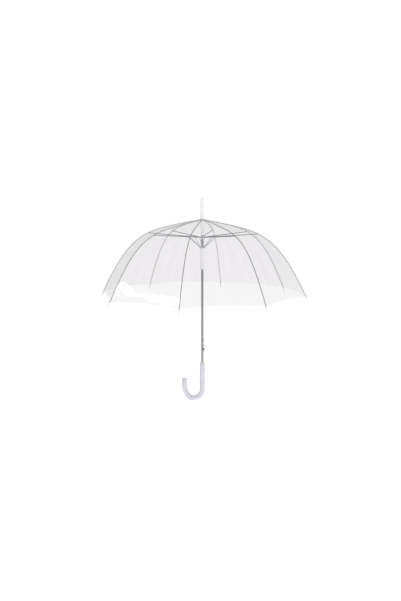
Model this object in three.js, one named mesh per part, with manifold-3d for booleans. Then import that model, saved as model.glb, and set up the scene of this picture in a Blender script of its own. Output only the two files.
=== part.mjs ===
// Clear dome stick umbrella, open, standing upright: eight curved ribs, a two-slider stretcher
// mechanism on a steel shaft, a clear film canopy of eight gores, a ferrule and a crook handle.
// Millimetres, +Z up. The origin is on the shaft axis, at the middle of the handle's straight grip.
// Heights written as z below are counted from the apex of the canopy, which is APEX_Z above the origin.
import * as THREE from 'three';
import { mergeVertices } from 'three/addons/utils/BufferGeometryUtils.js';
import Module from 'manifold-3d';

const wasm = await Module();
wasm.setup();

// --- driving dimensions ---------------------------------------------------------------------
const APEX_Z = 665;                 // canopy apex above the origin
const RIBS = 8;
const FIRST_RIB = 11.5;             // azimuth of rib 1, degrees from +X towards the front (-Y)
const PITCH = 360 / RIBS;
const HALF = THREE.MathUtils.degToRad(PITCH / 2);
// the dome's meridian: arcs of length, first slope and last slope (degrees below level)
const MERIDIAN = [[183, 8.5, 15.5], [148, 15.5, 46.5], [90, 46.5, 58], [174, 58, 66]];
const MERIDIAN_R0 = 9;              // radius where the meridian starts
const FILM_T = 0.4;                 // thickness of the film solids
const FILM_END = 571;               // meridian length of the film at a rib
const RIM_SCALLOP = 9;              // how far the rim draws up between two ribs
const RIB_END = 583;                // meridian length of the rib
const RIB_H = 2.6, RIB_W = 2.4;     // rib section
const RIB_DROP = 2.9;               // rib's centre line under the film
const TIP_START = 572, TIP_LENGTH = 23;
const RING_R = 8.6, WIRE_R = 0.6;   // binding wires in the crown and in both sliders
const EYE_R = 2.1, EYE_HOLE = 1.2;
const FLANGE_R = 11;                // slotted flanges that hold those wires
const CROWN_RING_Z = -3.6;
const SLIDER_RING_Z = -75;          // upper slider, carries the stretchers
const RUNNER_RING_Z = -118.5;       // top of the long runner, carries the links
const RUNNER_BOTTOM = -209;
const JOINT_S = 229;                // where a stretcher meets its rib, along the meridian
const LINK_AT = 55;                 // where a link meets its stretcher, from the slider's ring
const SHAFT_R = 5, SHAFT_BORE = 4.3;
const SHAFT_TOP = 40, SHAFT_BOTTOM = -665;
const BUTTON_Z = -552, BUTTON_R = 3.4;
const HANDLE_R = 10.8, HANDLE_TOP = -609;
const HOOK_R = 39.2, HOOK_Z = -725; // crook: radius of the near half's middle line, height of its centre
const LEG_R = 37.6, LEG_H = 66.2;   // half width and height of the far half, a part of an ellipse
const HOOK_END_Z = -678;
const GAP = 0.3;

// --- colours and materials -------------------------------------------------------------------
const paint = (color, roughness, metalness, opacity = 1) => new THREE.MeshStandardMaterial({
  color, roughness, metalness, opacity, transparent: opacity < 1 });
const STEEL = paint(0x9a9a9e, 0.3, 1);
const DARK_STEEL = paint(0x5c5c62, 0.35, 1);
const CHROME = paint(0xb9bbc0, 0.15, 1);
const WHITE = paint(0xe9e9ee, 0.35, 0);
const LAVENDER = paint(0xd9d9e4, 0.25, 0);
const CLEAR = paint(0xf2f4f4, 0.1, 0, 0.3);

// --- helpers -----------------------------------------------------------------------------------
const umbrella = new THREE.Group();
umbrella.name = 'stick_umbrella';
const place = new THREE.Group();    // moves the apex-based heights to the origin
place.position.z = APEX_Z;
umbrella.add(place);

function add(name, geometry, material, parent = place) {
  const mesh = new THREE.Mesh(geometry, material);
  mesh.name = name;
  parent.add(mesh);
  return mesh;
}

function toSolid(geometry) {
  let g = geometry.clone();
  g.deleteAttribute('normal');
  g.deleteAttribute('uv');
  g = mergeVertices(g, 1e-5);
  return new wasm.Manifold(new wasm.Mesh({
    numProp: 3,
    vertProperties: new Float32Array(g.attributes.position.array),
    triVerts: new Uint32Array(g.index.array) }));
}

function toGeometry(solid) {
  const m = solid.getMesh();
  const g = new THREE.BufferGeometry();
  const xyz = new Float32Array(m.numVert * 3);
  for (let i = 0; i < m.numVert; i++)
    for (let k = 0; k < 3; k++) xyz[3 * i + k] = m.vertProperties[i * m.numProp + k];
  g.setAttribute('position', new THREE.BufferAttribute(xyz, 3));
  g.setIndex(Array.from(m.triVerts));
  g.computeVertexNormals();
  return g;
}

// turned piece about Z, from [radius, z] pairs
function turned(points, segments = 16, closed = false) {
  const p = points.map(([r, z]) => new THREE.Vector2(r, z));
  if (closed) p.push(p[0].clone());
  return new THREE.LatheGeometry(p, segments).rotateX(Math.PI / 2);
}

function box(x0, x1, y0, y1, z0, z1) {
  return new THREE.BoxGeometry(x1 - x0, y1 - y0, z1 - z0)
    .translate((x0 + x1) / 2, (y0 + y1) / 2, (z0 + z1) / 2);
}

// flat piece cut from sheet: outline and holes in the meridian plane (x = radius, y = height),
// as thick as width, centred at the tangential offset t
function plate(outline, holes, width, t) {
  const points = outline.map(([x, y]) => new THREE.Vector2(x, y));
  if (THREE.ShapeUtils.isClockWise(points)) points.reverse();
  const shape = new THREE.Shape(points);
  for (const [x, y, r] of holes) {
    const hole = new THREE.Path();
    const n = 8;
    hole.setFromPoints(Array.from({ length: n }, (_, i) => new THREE.Vector2(
      x + r * Math.cos(-2 * Math.PI * i / n), y + r * Math.sin(-2 * Math.PI * i / n))));
    shape.holes.push(hole);
  }
  return new THREE.ExtrudeGeometry(shape, { depth: width, bevelEnabled: false })
    .translate(0, 0, -width / 2).rotateX(Math.PI / 2).translate(0, t, 0);
}

// group that turns the meridian plane (local X outwards) to an azimuth seen from above,
// counted from +X towards the front
function meridianGroup(azimuth) {
  const g = new THREE.Group();
  g.rotation.z = -THREE.MathUtils.degToRad(azimuth);
  place.add(g);
  return g;
}

// --- the meridian ------------------------------------------------------------------------------
const line = [];
{
  let r = MERIDIAN_R0, z = 0, s = 0;
  for (const [length, first, last] of MERIDIAN)
    for (let k = 0; k < length; k++) {
      const a = THREE.MathUtils.degToRad(first + (last - first) * (k + 0.5) / length);
      line.push([s, r, z, a]);
      r += Math.cos(a); z -= Math.sin(a); s += 1;
    }
  line.push([s, r, z, line[line.length - 1][3]]);
}
function meridian(s) {
  const i = Math.min(Math.max(Math.floor(s), 0), line.length - 2), f = s - i;
  return line[i].map((v, k) => v + (line[i + 1][k] - v) * f);
}
// a point off the meridian by d along its outward normal
function off(s, d) {
  const [, r, z, a] = meridian(s);
  return [r + d * Math.sin(a), z + d * Math.cos(a)];
}
const ribDrop = (s) => RIB_DROP + 0.8 * Math.max(0, 1 - s / 50);
const ribLine = (s, d = 0) => off(s, d - ribDrop(s));

function arcPoints(cx, cy, r, from, to, steps) {
  return Array.from({ length: steps + 1 }, (_, i) => {
    const a = THREE.MathUtils.degToRad(from + (to - from) * i / steps);
    return [cx + r * Math.cos(a), cy + r * Math.sin(a)];
  });
}

// bar with a round eye at both ends
function bar(x0, y0, x1, y1, halfHeight, extraHoles, width, t) {
  const a = Math.atan2(y1 - y0, x1 - x0) * 180 / Math.PI;
  const neck = Math.asin(halfHeight / EYE_R) * 180 / Math.PI;
  const outline = [
    ...arcPoints(x0, y0, EYE_R, a + neck, a + 360 - neck, 5),
    ...arcPoints(x1, y1, EYE_R, a - 180 + neck, a + 180 - neck, 5)];
  return plate(outline, [[x0, y0, EYE_HOLE], [x1, y1, EYE_HOLE], ...extraHoles], width, t);
}

// --- shaft, handle and ferrule -------------------------------------------------------------------
let shaft = toSolid(turned([[SHAFT_BORE, SHAFT_BOTTOM], [SHAFT_R, SHAFT_BOTTOM],
  [SHAFT_R, SHAFT_TOP], [SHAFT_BORE, SHAFT_TOP]], 20, true));
shaft = shaft.subtract(toSolid(box(0, 8, -1.4, 1.4, -541.5, -502.9)));
shaft = shaft.subtract(toSolid(
  new THREE.CylinderGeometry(BUTTON_R + GAP, BUTTON_R + GAP, 10, 12)
    .rotateZ(Math.PI / 2).translate(5.4, 0, BUTTON_Z)));
add('shaft_tube', toGeometry(shaft), CHROME);

const legZ = HOOK_Z - HOOK_R + LEG_H;      // height of the ellipse's centre
const legEnd = -Math.PI - Math.asin((HOOK_END_Z - legZ) / LEG_H);
const hookLine = [[0, HANDLE_TOP - 13], [0, -660], [0, HOOK_Z],
  ...arcPoints(-HOOK_R, HOOK_Z, HOOK_R, -15, -90, 5),
  ...Array.from({ length: 8 }, (_, i) => {
    const a = -Math.PI / 2 + (legEnd + Math.PI / 2) * (i + 1) / 8;
    return [-HOOK_R + LEG_R * Math.cos(a), legZ + LEG_H * Math.sin(a)];
  })];
const hookCurve = new THREE.CatmullRomCurve3(
  hookLine.map(([x, z]) => new THREE.Vector3(x, 0, z)), false, 'centripetal');
const round = new THREE.Shape(
  arcPoints(0, 0, HANDLE_R, 0, 337.5, 15).map(([x, y]) => new THREE.Vector2(x, y)));
let handle = toSolid(new THREE.ExtrudeGeometry(round,
  { steps: 30, bevelEnabled: false, extrudePath: hookCurve }));
handle = handle.add(toSolid(turned([[0, HANDLE_TOP - 20], [HANDLE_R - 0.4, HANDLE_TOP - 20],
  [HANDLE_R, HANDLE_TOP - 14], [HANDLE_R - 0.4, HANDLE_TOP - 8], [8.6, HANDLE_TOP - 2],
  [7.6, HANDLE_TOP], [0, HANDLE_TOP]], 16)));
handle = handle.subtract(toSolid(turned([[0, SHAFT_BOTTOM - GAP], [SHAFT_R + GAP, SHAFT_BOTTOM - GAP],
  [SHAFT_R + GAP, HANDLE_TOP + 5], [0, HANDLE_TOP + 5]], 20)));
add('crook_handle', toGeometry(handle), LAVENDER);

add('ferrule', turned([[0, SHAFT_TOP + GAP], [SHAFT_R + GAP, SHAFT_TOP + GAP], [SHAFT_R + GAP, 3],
  [9, 3], [9, 5], [7.6, 8.5], [7.2, 40], [6.8, 87.5], [6.3, 89.8], [5, 91], [0, 91]], 20), WHITE);
add('canopy_cap', turned([[SHAFT_R + GAP, 0.6], [12, 0.6], [12, 1.8], [11, 2.7],
  [SHAFT_R + GAP, 2.7]], 20, true), WHITE);

// --- hubs: a sleeve with a slotted, grooved flange that holds the binding wire -------------------
function hub(name, ringZ, lip, sleeve, slotT, slotW, material) {
  // sleeve: [radius, z] pairs of the outside, from top to bottom, flange left out
  const [top, bottom] = [sleeve[0], sleeve[sleeve.length - 1]];
  const above = sleeve.filter(([, z]) => z > ringZ + lip), below = sleeve.filter(([, z]) => z < ringZ - lip);
  const last = above[above.length - 1], first = below[0];
  const outline = [[SHAFT_R + GAP, bottom[1]], ...below.slice().reverse(), [first[0], ringZ - lip],
    [FLANGE_R, ringZ - lip], [FLANGE_R, ringZ - 1.1], [7.5, ringZ - 1.1], [7.5, ringZ + 1.1],
    [FLANGE_R, ringZ + 1.1], [FLANGE_R, ringZ + lip], [last[0], ringZ + lip], ...above.slice().reverse(), [SHAFT_R + GAP, top[1]]];
  let solid = toSolid(turned(outline, 16, true));
  for (let i = 0; i < RIBS; i++) {
    const slot = box(5.8, 14, slotT - slotW / 2, slotT + slotW / 2, ringZ - lip - 0.2, ringZ + lip + 0.2);
    slot.rotateZ(-THREE.MathUtils.degToRad(FIRST_RIB + i * PITCH));
    solid = solid.subtract(toSolid(slot));
  }
  return solid;
}
const wire = (name, z) => add(name,
  new THREE.TorusGeometry(RING_R, WIRE_R, 6, 20).translate(0, 0, z), DARK_STEEL);

const STRETCH_T = 2.6, STRETCH_W = 1.6, LINK_T = 0.7, LINK_W = 1.4;
add('crown', toGeometry(hub('crown', CROWN_RING_Z, 2.4,
  [[7.4, -0.8], [7.2, -40], [7, -65], [6.7, -66]], 0, RIB_W + 0.7)), WHITE);
wire('crown_wire', CROWN_RING_Z);
add('upper_slider', toGeometry(hub('upper_slider', SLIDER_RING_Z, 2.8,
  [[6.8, -70], [7.1, -71.5], [7.4, -79], [7.0, -80]], STRETCH_T, STRETCH_W + 0.7)), WHITE);
wire('slider_wire', SLIDER_RING_Z);

let runner = hub('runner', RUNNER_RING_Z, 2.8,
  [[7.0, -115], [8, -124], [8, -206.5], [8.6, -207], [8.6, -208.4], [8.2, RUNNER_BOTTOM]],
  LINK_T, LINK_W + 0.7);
// the catch window, on the side of the latch
runner = runner.subtract(toSolid(box(3, 12, -1.9, 1.9, RUNNER_BOTTOM + 3.5, RUNNER_BOTTOM + 19)));
add('runner', toGeometry(runner), WHITE);
wire('runner_wire', RUNNER_RING_Z);

// --- coil spring between the two sliders ---------------------------------------------------------
class Coil extends THREE.Curve {
  getPoint(t, v = new THREE.Vector3()) {
    const a = 2 * Math.PI * 9 * t;
    return v.set(6.9 * Math.cos(a), 6.9 * Math.sin(a), -81.1 - 33 * t);
  }
}
add('opening_spring', new THREE.ExtrudeGeometry(new THREE.Shape(
  arcPoints(0, 0, 0.6, 0, 288, 4).map(([x, y]) => new THREE.Vector2(x, y))),
  { steps: 90, bevelEnabled: false, extrudePath: new Coil() }), STEEL);

// --- latch, button and its bezel ------------------------------------------------------------------
add('latch', plate([[0.6, -503.4], [3.9, -503.4], [5.2, -505.5], [8.2, -515.2], [8.2, -516.4],
  [4.7, -516.9], [4.7, -532], [7, -533.4], [7, -539.4], [4.7, -541], [0.6, -541]], [], 2.2, 0),
  DARK_STEEL);
add('push_button', turned([[0, 1.3], [BUTTON_R, 1.3], [BUTTON_R, 8.6], [BUTTON_R - 0.5, 9.2],
  [0, 9.5]], 12).rotateY(Math.PI / 2).translate(0, 0, BUTTON_Z), DARK_STEEL);
const bezel = toSolid(turned([[3.9, 2], [6.2, 2], [6.2, 6.3], [5.6, 6.9], [3.9, 6.9]], 16, true)
  .rotateY(Math.PI / 2).translate(0, 0, BUTTON_Z));
add('button_bezel', toGeometry(bezel.subtract(toSolid(turned([[0, BUTTON_Z - 10],
  [SHAFT_R + GAP, BUTTON_Z - 10], [SHAFT_R + GAP, BUTTON_Z + 10], [0, BUTTON_Z + 10]], 20)))), DARK_STEEL);

// --- the eight ribs, with their tips, stretchers and links ---------------------------------------
const JOINT = ribLine(JOINT_S, -2.4);
const RIB_STATIONS = [5, 30, 60, 125, 185, 215, 222, 236, 245, 275, 305, 335, 365, 395, 425, 475, 525,
  RIB_END];

function ribOutline() {
  const slope = meridian(JOINT_S)[3] * 180 / Math.PI;
  const top = RIB_STATIONS.map((s) => ribLine(s, RIB_H / 2));
  const bottom = RIB_STATIONS.filter((s) => Math.abs(s - JOINT_S) > 3).map((s) => [s, ribLine(s, -RIB_H / 2)]);
  const lug = arcPoints(JOINT[0], JOINT[1], 2.4, -slope, -slope - 180, 5);
  const under = [...bottom.filter(([s]) => s > JOINT_S).reverse().map(([, p]) => p), ...lug,
    ...bottom.filter(([s]) => s < JOINT_S).reverse().map(([, p]) => p)];
  const eye = arcPoints(RING_R, CROWN_RING_Z, EYE_R, -55, -305, 5);
  return [...top, ...under, ...eye];
}
const onRing = (t) => Math.sqrt(RING_R ** 2 - t ** 2);   // a wire's distance out, at a side offset
const S0 = [onRing(STRETCH_T), SLIDER_RING_Z];
const reach = Math.hypot(JOINT[0] - S0[0], JOINT[1] - S0[1]);
const linkEnd = [0, 1].map((k) => S0[k] + (JOINT[k] - S0[k]) * LINK_AT / reach);

for (let i = 0; i < RIBS; i++) {
  const n = i + 1, g = meridianGroup(FIRST_RIB + i * PITCH);
  add(`rib_${n}`, plate(ribOutline(),
    [[RING_R, CROWN_RING_Z, EYE_HOLE], [JOINT[0], JOINT[1], EYE_HOLE]], RIB_W, 0), STEEL, g);

  const [ex, ez] = ribLine(TIP_START), slope = meridian(RIB_END)[3];
  const tip = add(`rib_tip_${n}`, turned([[0, 11.7], [2.2, 11.7], [2.2, 0], [3.1, 0], [3.5, 3],
    [3.5, 17], [3, 20.5], [1.8, TIP_LENGTH], [0, TIP_LENGTH]], 10), WHITE, g);
  tip.rotation.y = Math.PI / 2 + slope;
  tip.position.set(ex, 0, ez);

  add(`stretcher_${n}`, bar(...S0, ...JOINT, 1.5, [[...linkEnd, EYE_HOLE]], STRETCH_W, STRETCH_T),
    DARK_STEEL, g);
  add(`link_${n}`, bar(onRing(LINK_T), RUNNER_RING_Z, ...linkEnd, 1.1, [], LINK_W, LINK_T), DARK_STEEL, g);
}

// --- the canopy: eight gores of clear film, each from one rib to the next --------------------------
function gore() {
  const stations = [0, 60, 125, 185, 215, 245, 275, 305, 335, 365, 395, 425, 475, 525, FILM_END];
  const c = Math.cos(HALF);
  const side = (d) => stations.map((s) => { const [x, z] = off(s, d); return [x * c, z]; });
  const outline = [...side(FILM_T / 2), ...side(-FILM_T / 2).reverse()];
  const g = new THREE.ExtrudeGeometry(
    new THREE.Shape(outline.map(([x, z]) => new THREE.Vector2(x, z))),
    { depth: 2, steps: 4, bevelEnabled: false }).translate(0, 0, -1).rotateX(Math.PI / 2);
  const rim = off(FILM_END, 0), before = off(FILM_END - 1, 0);
  const p = g.attributes.position;
  for (let i = 0; i < p.count; i++) {
    let x = p.getX(i), z = p.getZ(i);
    const u = p.getY(i), half = x * Math.tan(HALF) - 0.2;
    if (z < rim[1] + 1) {              // the rim draws up between the ribs
      x -= (rim[0] - before[0]) * c * RIM_SCALLOP * (1 - u * u);
      z -= (rim[1] - before[1]) * RIM_SCALLOP * (1 - u * u);
    }
    p.setXYZ(i, x, u * half, z);
  }
  return g;
}
for (let i = 0; i < RIBS; i++)
  add(`canopy_gore_${i + 1}`, gore(), CLEAR, meridianGroup(FIRST_RIB + (i + 0.5) * PITCH));

export default umbrella;
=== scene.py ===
import math
import bmesh
import bpy
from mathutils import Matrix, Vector


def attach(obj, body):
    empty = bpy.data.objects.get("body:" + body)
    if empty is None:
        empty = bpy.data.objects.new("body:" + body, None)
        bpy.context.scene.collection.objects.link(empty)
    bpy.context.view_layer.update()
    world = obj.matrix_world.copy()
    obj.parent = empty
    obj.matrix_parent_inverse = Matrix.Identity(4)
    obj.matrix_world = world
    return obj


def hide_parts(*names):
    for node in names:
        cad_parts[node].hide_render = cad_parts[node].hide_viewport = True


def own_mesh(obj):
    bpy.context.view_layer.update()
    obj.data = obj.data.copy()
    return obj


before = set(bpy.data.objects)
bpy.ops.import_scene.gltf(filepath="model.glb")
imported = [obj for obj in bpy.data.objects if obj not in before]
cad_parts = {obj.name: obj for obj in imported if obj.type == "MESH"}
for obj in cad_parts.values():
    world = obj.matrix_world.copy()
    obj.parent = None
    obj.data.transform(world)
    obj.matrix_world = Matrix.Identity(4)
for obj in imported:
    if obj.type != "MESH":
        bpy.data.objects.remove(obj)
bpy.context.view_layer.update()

MM = 0.001
APEX = 0.665                      # height of the canopy's apex; heights below are in mm from it
SHAFT_R, SHAFT_BORE = 5.0, 4.3
SHAFT_TOP, SHAFT_BOTTOM = 40.0, -665.0
LATCH_SLOT = (-541.5, -502.9, 1.4)
BUTTON_Z, BUTTON_HOLE = -552.0, 3.7


def at(x, y, z):
    return Vector((x * MM, y * MM, APEX + z * MM))


def finished(name, mesh_or_bm, material, sharp=35):
    """An object at the origin with its place in its mesh, faces out, soft edges under the sharp angle."""
    if isinstance(mesh_or_bm, bmesh.types.BMesh):
        mesh = bpy.data.meshes.new(name)
        bmesh.ops.recalc_face_normals(mesh_or_bm, faces=mesh_or_bm.faces)
        mesh_or_bm.to_mesh(mesh)
        mesh_or_bm.free()
    else:
        mesh = mesh_or_bm
    mesh.name = name
    piece = bpy.data.objects.new(name, mesh)
    bpy.context.scene.collection.objects.link(piece)
    mesh.materials.clear()
    mesh.materials.append(material)
    mesh.shade_smooth()
    mesh.set_sharp_from_angle(angle=math.radians(sharp))
    return piece


def turned(profile, sides=64, closed=False, along=None):
    """Turned shape from (radius, height) pairs about the shaft, or about the line from a point along a direction."""
    bm = bmesh.new()
    start, axis = along or (at(0, 0, 0), Vector((0, 0, 1)))
    across = axis.orthogonal().normalized() if abs(axis.z) < 0.99 else Vector((1, 0, 0))
    other = axis.cross(across)
    rings = []
    for r, h in profile:
        centre = start + axis * h * MM
        if r < 1e-6:
            rings.append([bm.verts.new(centre)] * sides)
        else:
            rings.append([bm.verts.new(centre + (across * math.cos(a) + other * math.sin(a)) * r * MM)
                          for a in (2 * math.pi * k / sides for k in range(sides))])
    pairs = list(zip(rings, rings[1:])) + ([(rings[-1], rings[0])] if closed else [])
    for low, high in pairs:
        for k in range(sides):
            corners = [low[k], low[(k + 1) % sides], high[(k + 1) % sides], high[k]]
            corners = [v for i, v in enumerate(corners) if v not in corners[:i]]
            if len(corners) > 2:
                bm.faces.new(corners)
    return bm


def block(x, y, z):
    bm = bmesh.new()
    bmesh.ops.create_cube(bm, size=1)
    low, high = at(x[0], y[0], z[0]), at(x[1], y[1], z[1])
    for v in bm.verts:
        v.co = Vector(low[i] + (v.co[i] + 0.5) * (high[i] - low[i]) for i in range(3))
    return bm


def punched(bm, *cutters):
    """The shape with the cutters' shapes taken out of it."""
    scratch = []
    for k, shape in enumerate((bm,) + cutters):
        bmesh.ops.recalc_face_normals(shape, faces=shape.faces)
        mesh = bpy.data.meshes.new("blank")
        shape.to_mesh(mesh)
        shape.free()
        scratch.append(bpy.data.objects.new("blank", mesh))
        bpy.context.scene.collection.objects.link(scratch[-1])
    for cutter in scratch[1:]:
        tool = scratch[0].modifiers.new("punch", "BOOLEAN")
        tool.object, tool.solver = cutter, "EXACT"
    result = bpy.data.meshes.new_from_object(
        scratch[0].evaluated_get(bpy.context.evaluated_depsgraph_get()))
    for o in scratch:
        bpy.data.objects.remove(o)
    return result


class Finish:
    """A procedural material, built node by node around one Principled shader."""

    def __init__(self, name, colour, roughness, metallic=0.0):
        self.material = bpy.data.materials.new(name)
        self.material.use_nodes = True
        self.tree = self.material.node_tree
        self.shader = self.tree.nodes["Principled BSDF"]
        self.shader.inputs["Base Color"].default_value = (*colour, 1)
        self.shader.inputs["Roughness"].default_value = roughness
        self.shader.inputs["Metallic"].default_value = metallic
        self.place = self.node("ShaderNodeTexCoord").outputs["Object"]

    def node(self, kind, **settings):
        node = self.tree.nodes.new(kind)
        for key, value in settings.items():
            setattr(node, key, value)
        return node

    def link(self, source, socket):
        self.tree.links.new(source, socket)

    def speckle(self, scale, detail=3.0, stretch=(1, 1, 1)):
        """Noise on the piece's own place, stretched along an axis."""
        mapping = self.node("ShaderNodeMapping")
        mapping.inputs["Scale"].default_value = stretch
        self.link(self.place, mapping.inputs["Vector"])
        noise = self.node("ShaderNodeTexNoise")
        noise.inputs["Scale"].default_value = scale
        noise.inputs["Detail"].default_value = detail
        self.link(mapping.outputs[0], noise.inputs["Vector"])
        return noise.outputs["Fac"]

    def between(self, source, low, high, start=0.3, end=0.7):
        """A number that goes from low to high as the source goes from start to end."""
        spread = self.node("ShaderNodeMapRange")
        for socket, value in zip(("From Min", "From Max", "To Min", "To Max"), (start, end, low, high)):
            spread.inputs[socket].default_value = value
        self.link(source, spread.inputs["Value"])
        return spread.outputs["Result"]

    def colours(self, source, dark, light, socket="Base Color", start=0.3, end=0.7):
        ramp = self.node("ShaderNodeValToRGB")
        ramp.color_ramp.elements[0].position, ramp.color_ramp.elements[0].color = start, (*dark, 1)
        ramp.color_ramp.elements[1].position, ramp.color_ramp.elements[1].color = end, (*light, 1)
        self.link(source, ramp.inputs["Fac"])
        self.link(ramp.outputs["Color"], self.shader.inputs[socket])

    def relief(self, source, depth, strength=1.0):
        """Bump of a depth in millimetres, on top of any relief already there."""
        bump = self.node("ShaderNodeBump")
        bump.inputs["Strength"].default_value = strength
        bump.inputs["Distance"].default_value = depth * MM
        self.link(source, bump.inputs["Height"])
        if self.shader.inputs["Normal"].is_linked:
            self.link(self.shader.inputs["Normal"].links[0].from_socket, bump.inputs["Normal"])
        self.link(bump.outputs[0], self.shader.inputs["Normal"])

    def uneven(self, patch, dark, light, grain, roughness, pit, depth):
        """Uneven colour, uneven gloss and fine relief, each from noise of its own scale."""
        self.colours(self.speckle(patch), dark, light)
        self.link(self.between(self.speckle(grain), *roughness), self.shader.inputs["Roughness"])
        self.relief(self.speckle(pit, 2), depth)


plating = Finish("plated_steel", (0.32, 0.32, 0.335), 0.16, 1.0)
plating.colours(plating.speckle(60, stretch=(1, 1, 0.06)), (0.25, 0.25, 0.265), (0.38, 0.38, 0.39))
plating.link(plating.between(plating.speckle(420, stretch=(1, 1, 0.03)), 0.12, 0.26),
             plating.shader.inputs["Roughness"])
plating.relief(plating.speckle(2600, stretch=(1, 1, 0.015)), 0.012)

tube = turned([(SHAFT_BORE, SHAFT_BOTTOM), (SHAFT_R - 0.1, SHAFT_BOTTOM), (SHAFT_R, SHAFT_BOTTOM + 0.1),
               (SHAFT_R, SHAFT_TOP - 0.1), (SHAFT_R - 0.1, SHAFT_TOP), (SHAFT_BORE, SHAFT_TOP)], 48, closed=True)
slot_low, slot_high, slot_half = LATCH_SLOT
shaft = finished("shaft", punched(
    tube, block((0, 8), (-slot_half, slot_half), (slot_low, slot_high)),
    turned([(0, 1), (BUTTON_HOLE, 1), (BUTTON_HOLE, 9), (0, 9)], 32,
           along=(at(0, 0, BUTTON_Z), Vector((1, 0, 0))))), plating.material)
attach(shaft, "shaft")
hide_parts("shaft_tube")

# The handle: a crook injection moulded in glossy white plastic with a cool cast, 21.6 mm thick.
# It is pushed and glued over the shaft's lower end; its mould leaves a faint line down both sides.
GRIP_R, GRIP_TOP, GRIP_NECK_R = 10.8, -609.0, 7.6
HOOK_R, HOOK_Z = 39.2, -725.0     # the near half of the hook is a quarter of a circle
LEG_R, LEG_H, HOOK_END_Z = 37.6, 66.2, -678.0    # the far half is a part of an ellipse, and leans in at its end
GRIP_ROUNDS = 48                  # faces round the grip
SOCKET_R = SHAFT_R + 0.3


def hook_line():
    """(x, z) along the grip's middle, from its top to the hook's end."""
    line = [(0.0, GRIP_TOP - 24 - k * 12.0) for k in range(8)]
    for k in range(21):
        a = -math.pi / 2 * k / 20
        line.append((-HOOK_R + HOOK_R * math.cos(a), HOOK_Z + HOOK_R * math.sin(a)))
    leg_z = HOOK_Z - HOOK_R + LEG_H
    leg_end = -math.pi - math.asin((HOOK_END_Z - leg_z) / LEG_H)
    for k in range(1, 33):
        a = -math.pi / 2 + (leg_end + math.pi / 2) * k / 32
        line.append((-HOOK_R + LEG_R * math.cos(a), leg_z + LEG_H * math.sin(a)))
    return line


def grip_shell():
    bm = bmesh.new()
    rings = []

    def ring(x, z, nx, nz, r, lift=0.0):
        """Ring of points about (x, z), square to the direction (nx, nz)."""
        length = math.hypot(nx, nz)
        nx, nz = nx / length, nz / length
        x, z = x + nx * lift, z + nz * lift
        rings.append([bm.verts.new(at(x + r * math.cos(a) * -nz, r * math.sin(a), z + r * math.cos(a) * nx))
                      for a in (2 * math.pi * k / GRIP_ROUNDS for k in range(GRIP_ROUNDS))])

    for z in (SHAFT_BOTTOM - 0.3, -640.0, GRIP_TOP - 1.0):
        ring(0, z, 0, -1, SOCKET_R)
    for r, z in ((SOCKET_R + 0.4, -0.1), (GRIP_NECK_R - 0.5, 0), (GRIP_NECK_R, -0.5), (8.2, -1.4),
                 (9.0, -3.2), (9.8, -5.6), (10.4, -8.6), (10.7, -12.0), (GRIP_R, -16.0)):
        ring(0, GRIP_TOP + z, 0, -1, r)
    line = hook_line()
    for k, (x, z) in enumerate(line):
        before, after = line[max(k - 1, 0)], line[min(k + 1, len(line) - 1)]
        last = (after[0] - before[0], after[1] - before[1])
        if k < len(line) - 1:
            ring(x, z, *last, GRIP_R)
    for r, lift in ((GRIP_R, -3.6), (10.5, -1.9), (9.7, -0.8), (8.3, -0.2), (6.0, 0.0), (3.0, 0.05)):
        ring(*line[-1], *last, r, lift)
    for low, high in zip(rings, rings[1:]):
        for k in range(GRIP_ROUNDS):
            bm.faces.new((low[k], low[(k + 1) % GRIP_ROUNDS], high[(k + 1) % GRIP_ROUNDS], high[k]))
    bm.faces.new(rings[0])
    bm.faces.new(rings[-1])
    return bm


moulding = Finish("glossy_cool_white", (0.60, 0.595, 0.66), 0.2)
moulding.shader.inputs["Coat Weight"].default_value = 0.35
moulding.shader.inputs["Coat Roughness"].default_value = 0.08
moulding.shader.inputs["Subsurface Weight"].default_value = 0.06
moulding.shader.inputs["Subsurface Radius"].default_value = (0.004, 0.004, 0.005)
moulding.uneven(22, (0.565, 0.56, 0.625), (0.62, 0.615, 0.68), 160, (0.16, 0.30), 900, 0.02)
split = moulding.node("ShaderNodeSeparateXYZ")          # the mould's line runs where y is 0
moulding.link(moulding.place, split.inputs[0])
side = moulding.node("ShaderNodeMath", operation="ABSOLUTE")
moulding.link(split.outputs["Y"], side.inputs[0])
moulding.relief(moulding.between(side.outputs[0], 1, 0, 0.0, 0.00022), 0.05, 0.6)

handle = finished("crook_handle_grip", grip_shell(), moulding.material, 60)
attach(handle, "shaft")
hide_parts("crook_handle")

# The button, its ring and the latch. The button and the ring are turned steel, blackened, and the ring is
# crimped to the shaft. The latch is a plated steel wedge, which the button draws in to let the runner go.
blackened = Finish("blackened_steel", (0.10, 0.10, 0.11), 0.34, 1.0)
blackened.uneven(500, (0.07, 0.07, 0.078), (0.15, 0.15, 0.16), 1400, (0.26, 0.48), 5200, 0.012)

TO_BUTTON = (at(0, 0, BUTTON_Z), Vector((1, 0, 0)))
button = finished("button", turned(
    [(0, 1.3), (3.4, 1.3), (3.4, 7.9), (3.3, 8.35), (3.05, 8.75), (2.65, 9.05), (2.1, 9.27),
     (1.4, 9.4), (0.7, 9.47), (0, 9.5)], 40, along=TO_BUTTON), blackened.material)
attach(button, "push_button")
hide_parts("push_button")

ring_blank = turned([(3.9, 2), (6.2, 2), (6.2, 5.9), (6.1, 6.35), (5.85, 6.7), (5.5, 6.88), (5.1, 6.9),
                     (4.4, 6.9), (4.05, 6.8), (3.9, 6.6)], 48, closed=True, along=TO_BUTTON)
bezel = finished("button_ring", punched(ring_blank, turned(
    [(0, BUTTON_Z - 10), (SOCKET_R, BUTTON_Z - 10), (SOCKET_R, BUTTON_Z + 10), (0, BUTTON_Z + 10)], 48)),
    blackened.material)
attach(bezel, "shaft")
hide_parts("button_bezel")

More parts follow.
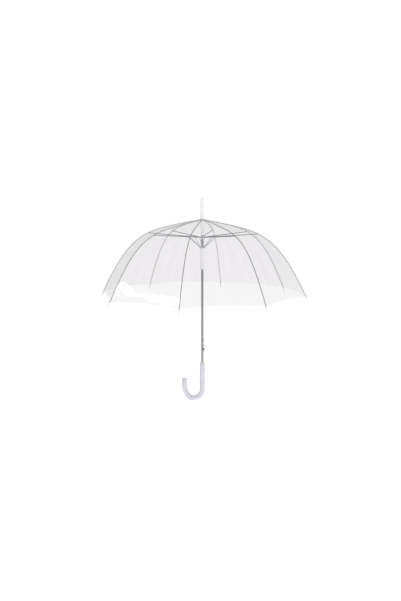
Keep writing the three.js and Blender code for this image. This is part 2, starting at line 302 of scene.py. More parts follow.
LATCH_OUTLINE = [(0.6, -503.4), (3.9, -503.4), (5.2, -505.5), (8.2, -515.2), (8.2, -516.4), (4.7, -516.9),
                 (4.7, -532.0), (7.0, -533.4), (7.0, -539.4), (4.7, -541.0), (0.6, -541.0)]


def plate(outline, thickness, azimuth=0.0, side=0.0, round_off=0.12):
    """Flat blank with the outline (radius, height) in mm, standing in the plane of an azimuth, edges eased."""
    bm = bmesh.new()
    a = -math.radians(azimuth)
    outward, across = Vector((math.cos(a), math.sin(a), 0)), Vector((-math.sin(a), math.cos(a), 0))

    def corner(x, z, t):
        return at(0, 0, z) + outward * x * MM + across * (side + t) * MM

    faces = [[bm.verts.new(corner(x, z, t * thickness / 2)) for x, z in outline] for t in (-1, 1)]
    bm.faces.new(faces[0])
    bm.faces.new(faces[1])
    for k in range(len(outline)):
        j = (k + 1) % len(outline)
        bm.faces.new((faces[0][k], faces[0][j], faces[1][j], faces[1][k]))
    bmesh.ops.recalc_face_normals(bm, faces=bm.faces)
    bmesh.ops.bevel(bm, geom=bm.edges, offset=round_off * MM, segments=2, affect="EDGES",
                    clamp_overlap=True)
    return bm


latch = finished("spring_latch", plate(LATCH_OUTLINE, 2.2), plating.material)
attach(latch, "latch")
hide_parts("latch")

# The crown, the upper slider and the runner: white nylon hubs, moulded with a groove round the flange.
# Eight slots are cut through each flange for the ribs, the stretchers and the links.
RIBS, PITCH, FIRST_RIB = 8, 45.0, 11.5    # azimuths are counted from +X towards the front
FLANGE_R, GROOVE_R, SLOT_FROM = 11.0, 7.5, 5.8
CROWN_Z, SLIDER_Z, RUNNER_Z, RUNNER_BOTTOM = -3.6, -75.0, -118.5, -209.0
RIB_W, STRETCHER_W, STRETCHER_SIDE = 2.4, 1.6, 2.6
LINK_W, LINK_SIDE = 1.4, 0.7
SLOT_PLAY = 0.7


def node_tree(name, inputs):
    """An empty geometry tree with the named inputs, and short ways to add nodes and wires to it."""
    tree = bpy.data.node_groups.new(name, "GeometryNodeTree")
    tree.interface.new_socket("Geometry", in_out="INPUT", socket_type="NodeSocketGeometry")
    for label, kind in inputs:
        tree.interface.new_socket(label, in_out="INPUT", socket_type="NodeSocket" + kind)
    tree.interface.new_socket("Geometry", in_out="OUTPUT", socket_type="NodeSocketGeometry")
    given = tree.nodes.new("NodeGroupInput")

    def add(kind, *wires, **settings):
        """A node with its settings, and its inputs as (socket, source or value) pairs."""
        node = tree.nodes.new(kind)
        for key, value in settings.items():
            setattr(node, key, value)
        for socket, source in wires:
            target = node.inputs[socket]
            if isinstance(source, bpy.types.NodeSocket):
                tree.links.new(source, target)
            else:
                target.default_value = source
        return node

    def result(geometry):
        """Ends the tree in Realize Instances and Set Material."""
        real = add("GeometryNodeRealizeInstances", ("Geometry", geometry))
        coated = add("GeometryNodeSetMaterial", ("Geometry", real.outputs[0]), ("Material", given.outputs["Material"]))
        out = tree.nodes.new("NodeGroupOutput")
        tree.links.new(coated.outputs[0], out.inputs[0])

    return tree, given.outputs, add, result


def grown(name, tree, values, start=None, sharp=35):
    """The tree's result on a starting shape, with its inputs set by their identifiers, as a plain piece."""
    seed = start.copy() if start else bpy.data.objects.new("seed", bpy.data.meshes.new("seed"))
    bpy.context.scene.collection.objects.link(seed)
    grower = seed.modifiers.new("grow", "NODES")
    grower.node_group = tree
    for item in tree.interface.items_tree:
        if item.in_out == "INPUT" and item.name in values:
            grower[item.identifier] = values[item.name]
    mesh = bpy.data.meshes.new_from_object(seed.evaluated_get(bpy.context.evaluated_depsgraph_get()))
    seed.modifiers.remove(grower)
    bpy.data.objects.remove(seed)
    return finished(name, mesh, values["Material"], sharp)


def hub_tree():
    tree, given, add, result = node_tree("slotted_hub", [
        ("Slots", "Int"), ("First slot", "Float"), ("Slot size", "Vector"), ("Slot from", "Float"),
        ("Slot side", "Float"), ("Height", "Float"), ("Material", "Material")])
    points = add("GeometryNodePoints", ("Count", given["Slots"]))
    index = add("GeometryNodeInputIndex").outputs[0]
    pitch = add("ShaderNodeMath", (0, -2 * math.pi), (1, given["Slots"]), operation="DIVIDE").outputs[0]
    angle = add("ShaderNodeMath", (0, index), (1, pitch), (2, given["First slot"]),
                operation="MULTIPLY_ADD").outputs[0]
    turn = add("ShaderNodeCombineXYZ", ("Z", angle)).outputs[0]
    size = add("ShaderNodeSeparateXYZ", (0, given["Slot size"])).outputs[0]
    middle = add("ShaderNodeMath", (0, size), (1, 0.5), (2, given["Slot from"]), operation="MULTIPLY_ADD").outputs[0]
    place = add("ShaderNodeCombineXYZ", ("X", middle), ("Y", given["Slot side"]), ("Z", given["Height"])).outputs[0]
    block_mesh = add("GeometryNodeMeshCube", ("Size", given["Slot size"])).outputs[0]
    moved = add("GeometryNodeTransform", ("Geometry", block_mesh), ("Translation", place)).outputs[0]
    cutters = add("GeometryNodeInstanceOnPoints", ("Points", points.outputs[0]), ("Instance", moved),
                  ("Rotation", turn)).outputs[0]
    cut = add("GeometryNodeMeshBoolean", operation="DIFFERENCE", solver="EXACT")
    tree.links.new(given["Geometry"], cut.inputs["Mesh 1"])
    tree.links.new(add("GeometryNodeRealizeInstances", ("Geometry", cutters)).outputs[0], cut.inputs["Mesh 2"])
    result(cut.outputs["Mesh"])
    return tree


slotted_hub = hub_tree()
nylon = Finish("white_nylon", (0.80, 0.80, 0.805), 0.36)
nylon.shader.inputs["Subsurface Weight"].default_value = 0.08
nylon.shader.inputs["Subsurface Radius"].default_value = (0.003, 0.003, 0.003)
nylon.uneven(45, (0.77, 0.77, 0.775), (0.83, 0.83, 0.835), 260, (0.30, 0.44), 1500, 0.015)


def hub(name, height, lip, above, below, side, width, extra=()):
    """Hub with its flange at a height, (radius, height) pairs of the sleeve above and below it, and its slots."""
    e = 0.25                      # eased edge of the flange
    outline = [(SOCKET_R, below[-1][1]), *reversed(below), (below[0][0], height - lip - 0.3),
               (below[0][0] + 0.3, height - lip), (FLANGE_R - e, height - lip), (FLANGE_R, height - lip + e),
               (FLANGE_R, height - 1.1 - e), (FLANGE_R - e, height - 1.1), (GROOVE_R, height - 1.1),
               (GROOVE_R, height + 1.1), (FLANGE_R - e, height + 1.1), (FLANGE_R, height + 1.1 + e),
               (FLANGE_R, height + lip - e), (FLANGE_R - e, height + lip), (above[-1][0], height + lip),
               *reversed(above), (SOCKET_R, above[0][1])]
    sleeve = turned(outline, 64, closed=True)
    bmesh.ops.recalc_face_normals(sleeve, faces=sleeve.faces)
    if extra:
        blank = punched(sleeve, *extra)
    else:
        blank = bpy.data.meshes.new("blank")
        sleeve.to_mesh(blank)
        sleeve.free()
    start = bpy.data.objects.new("blank", blank)
    piece = grown(name, slotted_hub, {
        "Slots": RIBS, "First slot": -math.radians(FIRST_RIB),
        "Slot size": (0.009, (width + SLOT_PLAY) * MM, (2 * lip + 0.4) * MM), "Slot from": SLOT_FROM * MM,
        "Slot side": side * MM, "Height": APEX + height * MM, "Material": nylon.material}, start, 30)
    bpy.data.objects.remove(start)
    return piece


crown = hub("crown_hub", CROWN_Z, 2.4, [(7.2, -0.8)],
            [(7.4, -6.2), (7.2, -40.0), (7.0, -64.6), (6.9, -65.4), (6.5, -66.0)], 0, RIB_W)
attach(crown, "shaft")
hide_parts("crown")

upper_slider = hub("stretcher_hub", SLIDER_Z, 2.8, [(6.6, -70.0), (6.8, -70.2), (7.1, -71.5)],
                   [(7.4, -78.2), (7.4, -79.3), (7.0, -80.0)], STRETCHER_SIDE, STRETCHER_W)
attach(upper_slider, "upper_slider")
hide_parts("upper_slider")

runner = hub("runner_sleeve", RUNNER_Z, 2.8, [(6.8, -115.0), (7.0, -115.2)],
             [(8.0, -121.6), (8.0, -206.2), (8.2, -206.7), (8.6, -207.1), (8.6, -208.4), (8.2, -209.0)],
             LINK_SIDE, LINK_W,
             extra=[block((3, 12), (-1.9, 1.9), (RUNNER_BOTTOM + 3.5, RUNNER_BOTTOM + 19))])
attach(runner, "runner")
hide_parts("runner")

# The binding wires and the opening spring: bright spring wire. One ring of wire lies in each hub's
# groove and carries the eyes of the ribs or struts; the coil pushes the two sliders apart.
WIRE_RING_R, WIRE_R = 8.6, 0.6
SPRING_R, SPRING_TURNS, SPRING_TOP, SPRING_LENGTH = 6.9, 9, -81.1, 33.0


def wire_tree():
    tree, given, add, result = node_tree("drawn_wire", [
        ("Wire radius", "Float"), ("Sides", "Int"), ("Material", "Material")])
    round_bar = add("GeometryNodeCurvePrimitiveCircle", ("Resolution", given["Sides"]),
                    ("Radius", given["Wire radius"])).outputs[0]
    result(add("GeometryNodeCurveToMesh", ("Curve", given["Geometry"]), ("Profile Curve", round_bar),
               ("Fill Caps", True)).outputs[0])
    return tree


def line_object(points, closed=False):
    """A straight-segment curve through points in metres, to sweep a section along."""
    curve = bpy.data.curves.new("line", "CURVE")
    curve.dimensions = "3D"
    spline = curve.splines.new("POLY")
    spline.points.add(len(points) - 1)
    for point, co in zip(spline.points, points):
        point.co = (*co, 1)
    spline.use_cyclic_u = closed
    return bpy.data.objects.new("line", curve)


drawn_wire = wire_tree()
spring_wire = Finish("bright_spring_wire", (0.84, 0.84, 0.85), 0.25, 1.0)
spring_wire.uneven(700, (0.80, 0.80, 0.81), (0.89, 0.89, 0.90), 2200, (0.18, 0.34), 6000, 0.008)

for name, height, body in (("crown_wire", CROWN_Z, "shaft"), ("slider_wire", SLIDER_Z, "upper_slider"),
                           ("runner_wire", RUNNER_Z, "runner")):
    ring_line = line_object([at(WIRE_RING_R * math.cos(a), WIRE_RING_R * math.sin(a), height)
                             for a in (2 * math.pi * k / 72 for k in range(72))], closed=True)
    binding = grown(name + "_ring", drawn_wire, {"Wire radius": WIRE_R * MM, "Sides": 12,
                                                "Material": spring_wire.material}, ring_line)
    bpy.data.objects.remove(ring_line)
    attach(binding, body)
    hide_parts(name)

coil_line = line_object([at(SPRING_R * math.cos(2 * math.pi * k / 32), SPRING_R * math.sin(2 * math.pi * k / 32),
                            SPRING_TOP - SPRING_LENGTH * k / (32 * SPRING_TURNS))
                         for k in range(32 * SPRING_TURNS + 1)])
coil = grown("opening_coil", drawn_wire, {"Wire radius": WIRE_R * MM, "Sides": 10,
                                          "Material": spring_wire.material}, coil_line)
bpy.data.objects.remove(coil_line)
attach(coil, "upper_slider")
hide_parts("opening_spring")
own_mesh(coil)

# The ribs: strip steel rolled to a U channel, 2.4 by 2.6 mm, and bent to the dome's curve.
# Each has a pressed eye at the crown, and a lug riveted on where its stretcher meets it.
MERIDIAN = [(183, 8.5, 15.5), (148, 15.5, 46.5), (90, 46.5, 58), (174, 58, 66)]   # length, first and last slope
MERIDIAN_R0 = 9.0
RIB_H, RIB_WALL, RIB_DROP, RIB_END = 2.6, 0.45, 2.9, 583
EYE_R, EYE_BORE = 2.1, 0.85
JOINT_S, LUG_DROP = 229, 2.4      # where a stretcher meets its rib, along the rib and under it
RIB_AZIMUTHS = [FIRST_RIB + k * PITCH for k in range(RIBS)]

meridian_points = []              # radius, height and slope at each millimetre along the dome's curve
radius, height = MERIDIAN_R0, 0.0
for length, first, last in MERIDIAN:
    for k in range(length):
        slope = math.radians(first + (last - first) * (k + 0.5) / length)
        meridian_points.append((radius, height, slope))
        radius += math.cos(slope)
        height -= math.sin(slope)
meridian_points.append((radius, height, slope))


def dome(s, out=0.0):
    """(radius, height) at a length s along the dome's curve, moved out along its normal."""
    k = min(max(int(s), 0), len(meridian_points) - 2)
    r, z, slope = (a + (b - a) * (s - k) for a, b in zip(meridian_points[k], meridian_points[k + 1]))
    return r + out * math.sin(slope), z + out * math.cos(slope)


def rib_line(s, out=0.0):
    """(radius, height) on the rib's middle line, which runs under the film and dips to the crown."""
    return dome(s, out - RIB_DROP - 0.8 * max(0.0, 1 - s / 50))


def swept_tree():
    tree, given, add, result = node_tree("swept_section", [
        ("Section", "Object"), ("Azimuth", "Float"), ("Side", "Float"), ("Material", "Material")])
    section = add("GeometryNodeObjectInfo", ("Object", given["Section"])).outputs["Geometry"]
    upright = add("GeometryNodeSetCurveNormal", ("Curve", given["Geometry"]), mode="Z_UP").outputs[0]
    bar = add("GeometryNodeCurveToMesh", ("Curve", upright), ("Profile Curve", section), ("Fill Caps", True)).outputs[0]
    aside = add("ShaderNodeCombineXYZ", ("Y", given["Side"])).outputs[0]
    moved = add("GeometryNodeTransform", ("Geometry", bar), ("Translation", aside)).outputs[0]
    turn = add("ShaderNodeCombineXYZ", ("Z", given["Azimuth"])).outputs[0]
    result(add("GeometryNodeTransform", ("Geometry", moved), ("Rotation", turn)).outputs[0])
    return tree


swept_section = swept_tree()


def section_object(corners):
    """A closed flat outline of (across, up) corners in mm."""
    outline = line_object([(x * MM, y * MM, 0) for x, y in corners], closed=True)
    bpy.context.scene.collection.objects.link(outline)
    return outline


def channel_section(width, height, wall, ease):
    """The outline of a U channel, open side down, with its two upper corners eased."""
    w, h = width / 2, height / 2
    return section_object([(-w, -h), (-w + wall, -h), (-w + wall, h - wall), (w - wall, h - wall), (w - wall, -h),
                           (w, -h), (w, h - ease), (w - ease, h), (-w + ease, h), (-w, h - ease)])


def swept(name, line, section, azimuth, side, material, sharp=35):
    """A section drawn along (radius, height) points in mm, standing in the plane of an azimuth."""
    path = line_object([at(x, 0, z) for x, z in line])
    piece = grown(name, swept_section, {"Section": section, "Azimuth": -math.radians(azimuth),
                                        "Side": side * MM, "Material": material}, path, sharp)
    bpy.data.objects.remove(path)
    return piece


def facing(azimuth):
    a = -math.radians(azimuth)
    return Vector((math.cos(a), math.sin(a), 0)), Vector((-math.sin(a), math.cos(a), 0))


def on_plane(x, z, azimuth, side=0.0):
    outward, across = facing(azimuth)
    return at(0, 0, z) + outward * x * MM + across * side * MM


def eye(x, z, azimuth, side, width, outer, hole):
    """Pressed eye: a flat ring about a line across the plane of the azimuth."""
    half, e = width / 2, 0.12
    return turned([(hole, -half), (outer - e, -half), (outer, -half + e), (outer, half - e), (outer - e, half),
                   (hole, half)], 24, closed=True, along=(on_plane(x, z, azimuth, side), facing(azimuth)[1]))


def rivet(x, z, azimuth, low, high, shank, head):
    """Headed rivet across the plane of the azimuth, its heads outside low and high."""
    profile = [(0, low - 0.55), (head * 0.5, low - 0.5), (head * 0.85, low - 0.3), (head, low), (shank, low),
               (shank, high), (head, high), (head * 0.85, high + 0.3), (head * 0.5, high + 0.5), (0, high + 0.55)]
    return turned(profile, 16, along=(on_plane(x, z, azimuth), facing(azimuth)[1]))


def joined(name, base, extra, material, sharp=35):
    """One piece of the base piece's mesh and the extra shapes."""
    bm = bmesh.new()
    bm.from_mesh(base.data)
    bpy.data.objects.remove(base)
    for shape in extra:
        bmesh.ops.recalc_face_normals(shape, faces=shape.faces)
        mesh = bpy.data.meshes.new("part")
        shape.to_mesh(mesh)
        shape.free()
        bm.from_mesh(mesh)
    mesh = bpy.data.meshes.new(name)
    bmesh.ops.recalc_face_normals(bm, faces=bm.faces)
    bm.to_mesh(mesh)
    bm.free()
    return finished(name, mesh, material, sharp)


rib_steel = Finish("rolled_rib_steel", (0.50, 0.50, 0.51), 0.3, 1.0)
rib_steel.uneven(90, (0.44, 0.44, 0.45), (0.56, 0.56, 0.57), 800, (0.22, 0.42), 3600, 0.01)

channel = channel_section(RIB_W, RIB_H, RIB_WALL, 0.3)
JOINT = rib_line(JOINT_S, -LUG_DROP)
for n, azimuth in enumerate(RIB_AZIMUTHS, 1):
    line = [rib_line(s) for s in range(3, RIB_END, 4)] + [rib_line(RIB_END)]
    strip = swept("strip", line, channel, azimuth, 0, rib_steel.material)
    lug = plate([rib_line(s, RIB_H / 2 - 0.6) for s in (JOINT_S - 7, JOINT_S + 7)]
                + [rib_line(JOINT_S + 2.3, -LUG_DROP - 0.6), rib_line(JOINT_S + 1.2, -LUG_DROP - 2.0),
                   rib_line(JOINT_S, -LUG_DROP - 2.4), rib_line(JOINT_S - 1.2, -LUG_DROP - 2.0),
                   rib_line(JOINT_S - 2.3, -LUG_DROP - 0.6)], 1.3, azimuth)
    rib = joined(f"rib_channel_{n}", strip, [
        eye(WIRE_RING_R, CROWN_Z, azimuth, 0, RIB_W - 0.3, EYE_R, EYE_BORE), lug,
        rivet(*JOINT, azimuth, -0.75, STRETCHER_SIDE + 0.55, 0.7, 1.25)], rib_steel.material)
    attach(rib, f"rib_{n}")
    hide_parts(f"rib_{n}")
bpy.data.objects.remove(channel)

# The rib tips: white nylon caps pressed on the ribs' ends. The film's corner is welded into a
# pocket at the cap's root, so the cap is what stretches the rim.
TIP_START = 572
TIP_PROFILE = [(0, 11.7), (2.2, 11.7), (2.2, 0.1), (2.3, 0), (2.9, 0), (3.15, 0.25), (3.35, 1.6), (3.5, 3.4),
               (3.5, 4.2), (3.25, 4.5), (3.25, 5.3), (3.5, 5.6), (3.5, 14.5), (3.42, 16.4), (3.2, 18.6),
               (2.85, 20.4), (2.35, 21.7), (1.7, 22.5), (0.9, 22.9), (0, 23.0)]
for n, azimuth in enumerate(RIB_AZIMUTHS, 1):
    slope = meridian_points[-1][2]
    outward = facing(azimuth)[0]
    along = (outward * math.cos(slope) + Vector((0, 0, -math.sin(slope)))).normalized()
    tip = finished(f"tip_cap_{n}", turned(TIP_PROFILE, 28, along=(on_plane(*rib_line(TIP_START), azimuth), along)),
                   nylon.material, 50)
    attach(tip, f"rib_{n}")
    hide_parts(f"rib_tip_{n}")

# The stretchers and links: darkened steel struts with pressed eyes. A stretcher is a U channel from
# the upper slider to its rib; a thinner flat link ties it to the runner by a rivet near the hub.
LINK_AT = 55.0
STRETCHER_H, STRETCHER_WALL, LINK_H = 3.0, 0.4, 2.2
strut_steel = Finish("darkened_strut_steel", (0.28, 0.28, 0.29), 0.33, 1.0)
strut_steel.uneven(120, (0.23, 0.23, 0.24), (0.33, 0.33, 0.34), 900, (0.25, 0.45), 3600, 0.01)

hub_end = (math.sqrt(WIRE_RING_R ** 2 - STRETCHER_SIDE ** 2), SLIDER_Z)
runner_end = (math.sqrt(WIRE_RING_R ** 2 - LINK_SIDE ** 2), RUNNER_Z)
reach = math.dist(hub_end, JOINT)
tie = tuple(a + (b - a) * LINK_AT / reach for a, b in zip(hub_end, JOINT))


def trimmed(start, end, cut):
    """The points between two ends, each drawn in by cut millimetres."""
    length = math.dist(start, end)
    return [tuple(a + (b - a) * f for a, b in zip(start, end)) for f in
            (cut / length, 0.25, 0.5, 0.75, 1 - cut / length)]


strut_channel = channel_section(STRETCHER_W, STRETCHER_H, STRETCHER_WALL, 0.25)
w, h, e = LINK_W / 2, LINK_H / 2, 0.2
flat_bar = section_object([(-w, -h + e), (-w + e, -h), (w - e, -h), (w, -h + e), (w, h - e), (w - e, h),
                           (-w + e, h), (-w, h - e)])
for n, azimuth in enumerate(RIB_AZIMUTHS, 1):
    bar = swept("bar", trimmed(hub_end, JOINT, EYE_R - 0.5), strut_channel, azimuth, STRETCHER_SIDE,
                strut_steel.material)
    stretcher = joined(f"stretcher_channel_{n}", bar, [
        eye(*hub_end, azimuth, STRETCHER_SIDE, STRETCHER_W, EYE_R, EYE_BORE),
        eye(*JOINT, azimuth, STRETCHER_SIDE, STRETCHER_W - 0.5, EYE_R, EYE_BORE),
        rivet(*tie, azimuth, LINK_SIDE - 0.75, STRETCHER_SIDE + 0.85, 0.7, 1.2)], strut_steel.material)
    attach(stretcher, f"stretcher_{n}")
    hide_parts(f"stretcher_{n}")

    bar = swept("bar", trimmed(runner_end, tie, EYE_R - 0.5), flat_bar, azimuth, LINK_SIDE, rib_steel.material)
    link = joined(f"link_bar_{n}", bar, [
        eye(*runner_end, azimuth, LINK_SIDE, LINK_W, EYE_R, EYE_BORE),
        eye(*tie, azimuth, LINK_SIDE, LINK_W - 0.3, EYE_R, EYE_BORE)], rib_steel.material)
    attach(link, f"link_{n}")
    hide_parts(f"link_{n}")
bpy.data.objects.remove(strut_channel)
bpy.data.objects.remove(flat_bar)

# The canopy: eight gores of clear PVC film, 0.15 mm thick, cut to the dome and high-frequency welded
# edge to edge over the ribs. The rim is folded up once and welded; the film is taut, with small creases.
FILM_END, RIM_SCALLOP, HEM = 571, 9.0, 6.0
FILM_COLUMNS, FILM_ROWS = 28, 96
FILM_SAG, CREASE = 2.2, 1.8       # how far a gore draws in between two ribs, and its creases near the rim


def gore_tree():
    tree, given, add, result = node_tree("film_gore", [
        ("Meridian", "Object"), ("Length", "Float"), ("Half angle", "Float"), ("Columns", "Int"), ("Rows", "Int"),
        ("Scallop", "Float"), ("Sag", "Float"), ("Crease", "Float"), ("Hem", "Float"), ("Seed", "Float"),
        ("Azimuth", "Float"), ("Material", "Material")])

    def maths(operation, a, b=0.0, c=0.0):
        return add("ShaderNodeMath", (0, a), (1, b), (2, c), operation=operation).outputs[0]

    grid = add("GeometryNodeMeshGrid", ("Size X", 1.0), ("Size Y", 1.0), ("Vertices X", given["Columns"]),
               ("Vertices Y", given["Rows"])).outputs["Mesh"]
    place = add("ShaderNodeSeparateXYZ", (0, add("GeometryNodeInputPosition").outputs[0]))
    across = maths("MULTIPLY", place.outputs[0], 2.0)            # -1 to 1 from rib to rib
    down = maths("ADD", place.outputs[1], 0.5)                   # 0 at the apex, 1 at the rim
    bow = maths("SUBTRACT", 1.0, maths("MULTIPLY", across, across))
    draw = maths("DIVIDE", given["Scallop"], given["Length"])    # share of the length that the rim draws up
    lifted = maths("SUBTRACT", down, maths("MULTIPLY", maths("MULTIPLY", draw, bow), maths("POWER", down, 7.0)))
    meridian = add("GeometryNodeObjectInfo", ("Object", given["Meridian"])).outputs["Geometry"]
    on_line = add("ShaderNodeSeparateXYZ", (0, add("GeometryNodeSampleCurve", ("Curves", meridian),
                                                    ("Factor", lifted), mode="FACTOR").outputs["Position"]))
    tangent = maths("TANGENT", given["Half angle"])
    middle = maths("MULTIPLY", on_line.outputs[0], maths("COSINE", given["Half angle"]))
    half = maths("MULTIPLY", middle, tangent)
    # the film draws in between the ribs, most where the dome is steepest, and creases towards the rim
    hollow = maths("MULTIPLY", maths("MULTIPLY", bow, given["Sag"]), maths("SINE", maths("MULTIPLY", down, math.pi)))
    streak = add("ShaderNodeCombineXYZ", ("X", maths("MULTIPLY", across, 5.0)), ("Y", maths("MULTIPLY", down, 2.2)),
                 ("Z", given["Seed"])).outputs[0]
    noise = add("ShaderNodeTexNoise", ("Vector", streak), ("Scale", 1.3), ("Detail", 2.0)).outputs[0]
    ripple = maths("MULTIPLY", maths("SUBTRACT", noise, 0.5), maths("MULTIPLY", given["Crease"], maths(
        "MULTIPLY", maths("POWER", down, 2.0), maths("MINIMUM", maths("MULTIPLY", bow, 4.0), 1.0))))
    inward = maths("SUBTRACT", ripple, hollow)
    spot = add("ShaderNodeCombineXYZ", ("X", maths("ADD", middle, inward)), ("Y", maths("MULTIPLY", across, half)),
               ("Z", on_line.outputs[2])).outputs[0]
    kept = add("GeometryNodeStoreNamedAttribute", ("Geometry", grid), ("Name", "down"), ("Value", down),
               data_type="FLOAT", domain="POINT").outputs[0]
    kept = add("GeometryNodeStoreNamedAttribute", ("Geometry", kept), ("Name", "across"), ("Value", across),
               data_type="FLOAT", domain="POINT").outputs[0]
    shaped = add("GeometryNodeSetPosition", ("Geometry", kept), ("Position", spot)).outputs[0]
    shaped = add("GeometryNodeFlipFaces", ("Mesh", shaped)).outputs[0]
    # the hem: the last rows folded up on the inside
    low = maths("GREATER_THAN", down, maths("SUBTRACT", 1.0, maths("DIVIDE", given["Hem"], given["Length"])))
    fold = add("GeometryNodeSeparateGeometry", ("Geometry", shaped), ("Selection", low), domain="FACE").outputs[0]
    under = add("ShaderNodeVectorMath", (0, add("GeometryNodeInputNormal").outputs[0]), ("Scale", -0.35 * MM),
                operation="SCALE").outputs[0]
    fold = add("GeometryNodeSetPosition", ("Geometry", fold), ("Offset", under)).outputs[0]
    both = add("GeometryNodeJoinGeometry").inputs[0]
    tree.links.new(shaped, both)
    tree.links.new(fold, both)
    shaped = both.node.outputs[0]
    turn = add("ShaderNodeCombineXYZ", ("Z", given["Azimuth"])).outputs[0]
    result(add("GeometryNodeTransform", ("Geometry", shaped), ("Rotation", turn)).outputs[0])
    return tree


def film_finish(name, haze_low, haze_high, on_gore):
    """Clear film: mostly a tinted clear layer, a little milky, with a glossy skin that is stronger at a glance."""
    film = Finish(name, (0.82, 0.82, 0.83), 0.1)
    film.tree.nodes.remove(film.shader)
    if on_gore:                   # the pattern follows the gore, so that it folds with it
        across, down = (film.node("ShaderNodeAttribute", attribute_name=key) for key in ("across", "down"))
        spread = film.node("ShaderNodeCombineXYZ")
        film.link(across.outputs["Fac"], spread.inputs["X"])
        film.link(down.outputs["Fac"], spread.inputs["Y"])
        film.place = spread.outputs[0]
    bend = film.node("ShaderNodeBump")
    bend.inputs["Strength"].default_value = 0.55
    bend.inputs["Distance"].default_value = 2.2 * MM
    film.link(film.speckle(2.2, 3, (0.8, 4.5, 1)) if on_gore else film.speckle(14, 2), bend.inputs["Height"])
    clear = film.node("ShaderNodeBsdfTransparent")
    clear.inputs["Color"].default_value = (0.938, 0.928, 0.938, 1)
    haze = film.node("ShaderNodeBsdfDiffuse")
    haze.inputs["Color"].default_value = (0.50, 0.485, 0.505, 1)
    gloss = film.node("ShaderNodeBsdfGlossy")
    gloss.inputs["Color"].default_value = (0.86, 0.87, 0.86, 1)
    gloss.inputs["Roughness"].default_value = 0.07
    film.link(bend.outputs[0], gloss.inputs["Normal"])
    glance = film.node("ShaderNodeLayerWeight")
    glance.inputs["Blend"].default_value = 0.5
    film.link(bend.outputs[0], glance.inputs["Normal"])
    steep = film.node("ShaderNodeMath", operation="POWER")
    film.link(glance.outputs["Facing"], steep.inputs[0])
    steep.inputs[1].default_value = 5.0
    cloudy, skin = film.node("ShaderNodeMixShader"), film.node("ShaderNodeMixShader")
    film.link(film.between(film.speckle(2.6, 4, (1.6, 0.9, 1)) if on_gore else film.speckle(40, 3),
                           haze_low, haze_high), cloudy.inputs[0])
    film.link(clear.outputs[0], cloudy.inputs[1])
    film.link(haze.outputs[0], cloudy.inputs[2])
    film.link(film.between(steep.outputs[0], 0.04, 0.5, 0, 1), skin.inputs[0])
    film.link(cloudy.outputs[0], skin.inputs[1])
    film.link(gloss.outputs[0], skin.inputs[2])
    film.link(skin.outputs[0], film.tree.nodes["Material Output"].inputs["Surface"])
    return film.material


film = film_finish("clear_film", 0.03, 0.08, True)
weld = film_finish("welded_film", 0.04, 0.09, False)
film_gore = gore_tree()
film_line = line_object([at(x, 0, z) for x, z in (dome(s) for s in range(0, FILM_END + 1, 3))]
                        + [at(dome(FILM_END)[0], 0, dome(FILM_END)[1])])
bpy.context.scene.collection.objects.link(film_line)
WELD_HALF, WELD_STATIONS = 2.6, list(range(4, FILM_END, 7)) + [FILM_END]
welds = []
for n, azimuth in enumerate(RIB_AZIMUTHS, 1):
    # the welded seam over the rib: the two gores' edges lapped and fused
    bm = bmesh.new()
    lean = math.radians(PITCH / 2)
    rows = []
    for s in WELD_STATIONS:
        x, z = dome(s, 0.3)
        half = min(WELD_HALF, 0.35 * x)
        rows.append([bm.verts.new(on_plane(x - abs(t) * half * math.sin(lean), z, azimuth, t * half * math.cos(lean)))
                     for t in (-1, -0.5, 0, 0.5, 1)])
    for a, b in zip(rows, rows[1:]):
        for k in range(4):
            bm.faces.new((a[k], b[k], b[k + 1], a[k + 1]))
    welds.append(finished(f"film_weld_{n}", bm, weld, 180))
    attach(welds[-1], f"rib_{n}")

for n, azimuth in enumerate(RIB_AZIMUTHS, 1):
    middle = azimuth + PITCH / 2
    gore = grown(f"film_gore_{n}", film_gore, {
        "Meridian": film_line, "Length": FILM_END * MM, "Half angle": math.radians(PITCH / 2),
        "Columns": FILM_COLUMNS + 1, "Rows": FILM_ROWS + 1, "Scallop": RIM_SCALLOP * MM, "Sag": FILM_SAG * MM,
        "Crease": CREASE * MM, "Hem": HEM * MM, "Seed": 3.7 * n, "Azimuth": -math.radians(middle),
        "Material": film}, None, 180)
    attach(gore, f"canopy_gore_{n}")
    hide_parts(f"canopy_gore_{n}")
    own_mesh(gore)
bpy.data.objects.remove(film_line)

# The cap and the ferrule: white nylon. The cap is a washer pressed down on the film at the apex,
# and the ferrule is pushed over the shaft's top end to hold it; its foot flares to the cap's width.
cap = finished("apex_cap", turned([(SOCKET_R, 0.6), (11.7, 0.6), (12.0, 0.8), (12.0, 1.6), (11.8, 2.0), (11.3, 2.4),
                                   (10.6, 2.65), (9.6, 2.7), (SOCKET_R, 2.7)], 64, closed=True), nylon.material)
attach(cap, "shaft")
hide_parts("canopy_cap")

ferrule = finished("ferrule_tube", turned(
    [(0, SHAFT_TOP + 0.3), (SOCKET_R, SHAFT_TOP + 0.3), (SOCKET_R, 3.0), (8.8, 3.0), (9.0, 3.2), (9.0, 4.8),
     (8.9, 5.3), (8.6, 5.8), (8.1, 6.6), (7.8, 7.6), (7.6, 8.8), (7.4, 22), (7.2, 40), (7.0, 64), (6.8, 86.5),
     (6.75, 87.7), (6.6, 88.8), (6.3, 89.7), (5.8, 90.4), (5.1, 90.8), (4.2, 90.95), (2.2, 91.0), (0, 91.0)], 64),
    nylon.material, 50)
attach(ferrule, "shaft")
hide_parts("ferrule")

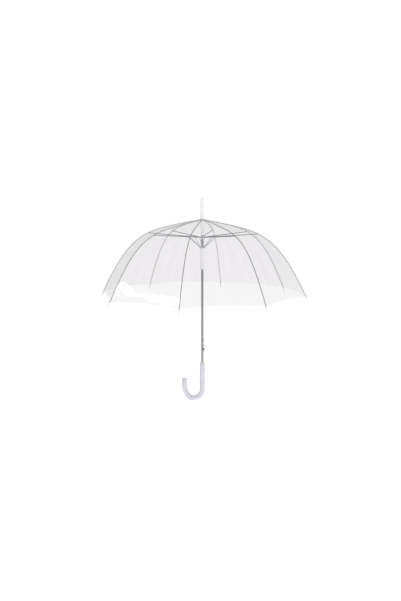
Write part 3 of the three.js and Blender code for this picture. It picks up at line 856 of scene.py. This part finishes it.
# The room: a wide pale floor well below the umbrella, an even white sky, and soft lights.
# The camera stands in front and a little above the rim, level with the canopy.
FLOOR_Z = -0.62
floor_paint = Finish("pale_floor", (0.93, 0.93, 0.93), 0.8)
floor_paint.colours(floor_paint.speckle(2.5), (0.925, 0.925, 0.925), (0.94, 0.94, 0.94))
floor_paint.shader.inputs["Emission Color"].default_value = (1, 1, 1, 1)
floor_paint.shader.inputs["Emission Strength"].default_value = 0.42
bm = bmesh.new()
bmesh.ops.create_circle(bm, cap_ends=True, segments=64, radius=40.0)
bmesh.ops.translate(bm, verts=bm.verts, vec=(0, 0, FLOOR_Z))
floor = finished("floor", bm, floor_paint.material)

world = bpy.data.worlds.new("white_room")
bpy.context.scene.world = world
world.use_nodes = True
sky = world.node_tree.nodes["Background"]        # white to look at, softer as a light
sky.inputs["Color"].default_value = (1.0, 1.0, 1.0, 1)
seen = world.node_tree.nodes.new("ShaderNodeLightPath")
level = world.node_tree.nodes.new("ShaderNodeMapRange")
level.inputs["To Min"].default_value, level.inputs["To Max"].default_value = 0.64, 1.02
world.node_tree.links.new(seen.outputs["Is Camera Ray"], level.inputs["Value"])
world.node_tree.links.new(level.outputs["Result"], sky.inputs["Strength"])


def softbox(name, place, aim, size, power, shows=True):
    light = bpy.data.lights.new(name, "AREA")
    light.shape, light.size, light.size_y, light.energy = "RECTANGLE", *size, power
    lamp = bpy.data.objects.new(name, light)
    lamp.location = place
    lamp.visible_glossy = shows
    lamp.rotation_euler = (Vector(aim) - Vector(place)).to_track_quat("-Z", "Y").to_euler()
    bpy.context.scene.collection.objects.link(lamp)


softbox("top_light", (0.6, -1.2, 3.4), (0, 0, 0.3), (2.4, 2.4), 20, shows=False)
softbox("left_light", (-2.64, -1.0, 1.96), (-0.2, -0.35, 0.3), (0.9, 0.10), 3.2)
softbox("front_light", (1.3, -3.3, 1.3), (0, 0, 0.2), (1.6, 2.2), 36, shows=False)

AIM = Vector((-0.0076, 0, APEX - 0.342))
DISTANCE, ELEVATION = 3.6, math.radians(7.8)
camera_data = bpy.data.cameras.new("camera")
camera_data.lens, camera_data.sensor_width = 51.0, 36.0
camera_data.clip_end = 100
camera = bpy.data.objects.new("camera", camera_data)
camera.location = AIM + DISTANCE * Vector((0, -math.cos(ELEVATION), math.sin(ELEVATION)))
camera.rotation_euler = (AIM - camera.location).to_track_quat("-Z", "Y").to_euler()
bpy.context.scene.collection.objects.link(camera)
bpy.context.scene.camera = camera
bpy.context.scene.view_settings.view_transform = "Standard"
